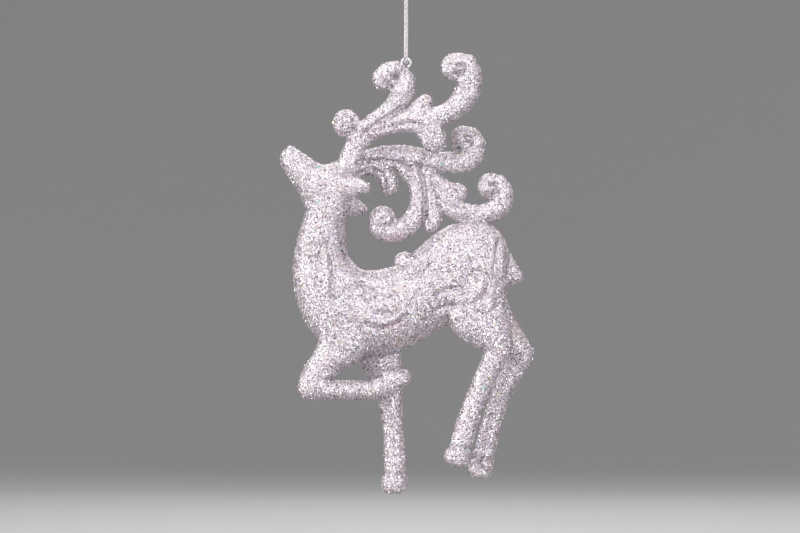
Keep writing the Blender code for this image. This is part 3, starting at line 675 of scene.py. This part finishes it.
def solids_as_one(names):
    """The CAD solids in one bmesh, and the index of the solid that each face belongs to."""
    bm = bmesh.new()
    owners = []
    for index, name in enumerate(names):
        mesh = frame["nodes"][name].data
        bm.from_mesh(mesh)
        owners += [index] * len(mesh.polygons)
    owner_layer = bm.faces.layers.int.new("owner")
    for face, owner in zip(bm.faces, owners):
        face[owner_layer] = owner
    bmesh.ops.remove_doubles(bm, verts=bm.verts, dist=WELD * MM)
    bm.normal_update()
    bm.faces.ensure_lookup_table()
    owners = np.array([face[owner_layer] for face in bm.faces])
    return bm, owners


def one_skin(bm):
    """Closed outer skin of the solids, with the coat's thickness on it and their seams filled."""
    for vert in bm.verts:
        vert.co += vert.normal * COAT * MM
    rough = link("rough_skin", mesh_from_bmesh("rough_skin", bm))
    remesh = rough.modifiers.new("remesh", "REMESH")
    remesh.mode = "VOXEL"
    remesh.voxel_size = VOXEL * MM
    evaluated = rough.evaluated_get(bpy.context.evaluated_depsgraph_get())
    skin = bpy.data.meshes.new_from_object(evaluated)
    bpy.data.objects.remove(rough)
    return skin


def smooth_out_facets(mesh):
    """Rounds the faceted solids off without shrinking them."""
    ends = np.empty(len(mesh.edges) * 2, dtype=np.int64)
    mesh.edges.foreach_get("vertices", ends)
    ends = ends.reshape(-1, 2)
    here = np.concatenate([ends[:, 0], ends[:, 1]])
    there = np.concatenate([ends[:, 1], ends[:, 0]])
    places = coordinates(mesh)
    neighbours = np.bincount(here, minlength=len(places))[:, None]
    for _ in range(SMOOTHING_PASSES):
        for step in (SMOOTH_IN, SMOOTH_OUT):
            totals = [np.bincount(here, places[there, axis], len(places)) for axis in range(3)]
            places += step * (np.stack(totals, axis=1) / neighbours - places)
    set_coordinates(mesh, places)


def relief_heights(places, strokes):
    """Height of the moulded lines at each place, in millimetres."""
    outline = (places - np.array(EYE))[:, [0, 2]] / MM
    heights = np.zeros(len(places))
    for stroke in strokes:
        line = spline(stroke.points, stroke.width / LINE_STEPS)
        reach = stroke.width * LINE_REACH
        near = np.flatnonzero(
            (outline > line.min(0) - reach).all(1) & (outline < line.max(0) + reach).all(1)
        )
        gaps = np.linalg.norm(outline[near, None, :] - line[None, :, :], axis=2).min(1)
        heights[near] += stroke.height * np.exp(-((gaps / stroke.width) ** 2))
    return heights


def raise_relief(mesh, names, owners):
    """Moves the skin out and in for the moulded lines on the sides, and for the coat's grain."""
    places = coordinates(mesh)
    normals = np.array([vertex.normal for vertex in mesh.vertices])
    facing = np.clip(np.abs(normals[:, 1]) * RELIEF_RISE - RELIEF_FADE, 0.0, 1.0)
    heights = RANDOM.normal(0.0, GRAIN, len(places))
    for index, name in enumerate(names):
        mine = np.flatnonzero(owners == index)
        for start, (gain, all_round, strokes) in RELIEF.items():
            if name.startswith(start):
                share = 1.0 if all_round else facing[mine]
                heights[mine] += relief_heights(places[mine], strokes) * share * gain
    set_coordinates(mesh, places + normals * heights[:, None] * MM)


def cut_out(mesh, name, chosen):
    """The chosen faces of a mesh, as a mesh of their own."""
    used, renumbered = np.unique(quad_corners(mesh)[chosen], return_inverse=True)
    part = bpy.data.meshes.new(name)
    part.from_pydata(coordinates(mesh)[used], [], renumbered.reshape(-1, 4).tolist())
    part.shade_smooth()
    return part


def choose_tint_patches(places):
    """Finish, middle and radius of each patch where tinted flakes gather."""
    names = [finish[0] for finish in FLAKE_FINISHES]
    tints = [names.index(tint) for tint in TINT_SHARES]
    middles = places[RANDOM.choice(len(places), TINT_PATCHES, replace=False)]
    radii = RANDOM.uniform(*TINT_PATCH_RADIUS, TINT_PATCHES) * MM
    return list(zip(RANDOM.choice(tints, TINT_PATCHES, p=tuple(TINT_SHARES.values())), middles, radii))


def scatter_flakes(name, mesh, materials, tint_patches):
    """Flat flakes stuck all over a mesh, each with its own tilt and finish."""
    quads = coordinates(mesh)[quad_corners(mesh)]
    normals = np.cross(quads[:, 2] - quads[:, 0], quads[:, 3] - quads[:, 1])
    areas = np.linalg.norm(normals, axis=1) / 2
    count = int(areas.sum() / MM**2 * FLAKES_PER_MM2)
    chosen = RANDOM.choice(len(quads), count, p=areas / areas.sum())
    weights = RANDOM.dirichlet(np.ones(4), count)
    centres = (quads[chosen] * weights[:, :, None]).sum(1)
    outward = normals[chosen] / np.linalg.norm(normals[chosen], axis=1)[:, None]
    low, high = FLAKE_LIFT
    centres += outward * (low + (high - low) * RANDOM.random(count) ** FLAKE_LIFT_POWER)[:, None] * MM

    facing = outward + RANDOM.normal(0.0, FLAKE_TILT, (count, 3))
    facing /= np.linalg.norm(facing, axis=1)[:, None]
    across = np.cross(facing, RANDOM.normal(0.0, 1.0, (count, 3)))
    across /= np.linalg.norm(across, axis=1)[:, None]
    upward = np.cross(facing, across)
    shares, sizes = np.array([finish[3:] for finish in FLAKE_FINISHES]).T
    finishes = RANDOM.choice(len(shares), count, p=shares / shares.sum())
    for finish, middle, radius in tint_patches:
        near = np.flatnonzero(np.linalg.norm(centres - middle, axis=1) < radius)
        finishes[near[RANDOM.random(len(near)) < TINT_STRENGTH]] = finish
    radii = RANDOM.uniform(*FLAKE_RADIUS, count) * sizes[finishes] * MM
    rim = np.empty((count, FLAKE_SIDES, 3))
    for corner in range(FLAKE_SIDES):
        angle = 2 * math.pi * corner / FLAKE_SIDES
        rim[:, corner] = centres + (across * math.cos(angle) + upward * math.sin(angle)) * radii[:, None]
    flakes = bpy.data.meshes.new(name)
    faces = np.arange(count * FLAKE_SIDES).reshape(-1, FLAKE_SIDES)
    flakes.from_pydata(rim.reshape(-1, 3), [], faces.tolist())
    for material in materials:
        flakes.materials.append(material)
    flakes.polygons.foreach_set("material_index", finishes)
    return flakes


def make_glitter():
    """One glitter-coated skin over the whole reindeer, cut into a piece for each CAD solid."""
    names = [name for name in frame["nodes"] if body_of(frame["nodes"][name]) == ["reindeer"]]
    names.remove("hanging_eye")
    solids, face_owners = solids_as_one(names)
    tree = BVHTree.FromBMesh(solids)
    skin = one_skin(solids)
    smooth_out_facets(skin)
    nearest = [tree.find_nearest(vertex.co)[2] for vertex in skin.vertices]
    owners = face_owners[nearest]
    raise_relief(skin, names, owners)

    quad_owners = owners[quad_corners(skin)[:, 0]]
    finishes = flake_materials()
    tint_patches = choose_tint_patches(coordinates(skin))
    for index, name in enumerate(names):
        coat = link(name + "_coat", cut_out(skin, name + "_coat", quad_owners == index))
        coat.data.materials.append(glitter_coat_material(name + "_glitter"))
        flake_mesh = scatter_flakes(name + "_flakes", coat.data, finishes, tint_patches)
        flakes = link(name + "_flakes", flake_mesh)
        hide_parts(name)
        for piece in (coat, flakes):
            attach(piece, "reindeer")
    bpy.data.meshes.remove(skin)


def make_eye():
    """Clear moulded ring with rounded edges, and the tongue that holds it in the antler."""
    low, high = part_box("hanging_eye")
    outer = high.z - EYE.z
    half_thickness = (high.y - low.y) / 2
    half_wall = outer * EYE_WALL_SHARE
    bm = bmesh.new()
    rings = []
    for segment in range(EYE_SEGMENTS):
        angle = 2 * math.pi * segment / EYE_SEGMENTS
        outward = Vector((math.cos(angle), 0.0, math.sin(angle)))
        ring = []
        for corner in range(EYE_WALL_SIDES):
            round_angle = 2 * math.pi * corner / EYE_WALL_SIDES
            place = EYE + outward * (outer - half_wall + half_wall * math.cos(round_angle))
            place.y += half_thickness * math.sin(round_angle)
            ring.append(bm.verts.new(place))
        rings.append(ring)
    bridge(bm, rings + rings[:1])

    width_share, depth_share = TONGUE_SHARES
    tongue_low = Vector((low.x * width_share, low.y * depth_share, low.z))
    tongue_high = Vector((high.x * width_share, high.y * depth_share, EYE.z - outer + half_wall))
    middle = Matrix.Translation((tongue_low + tongue_high) / 2)
    size = Matrix.Diagonal((*(tongue_high - tongue_low), 1.0))
    bmesh.ops.create_cube(bm, size=1.0, matrix=middle @ size)
    bmesh.ops.recalc_face_normals(bm, faces=bm.faces)
    eye = link("clear_eye_ring", mesh_from_bmesh("clear_eye_ring", bm))
    eye.data.materials.append(clear_plastic_material())
    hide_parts("hanging_eye")
    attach(eye, "reindeer")


make_camera()
make_cord()
make_room(cad_box[0].z - FLOOR_DROP)
make_lights()
make_eye()
make_glitter()
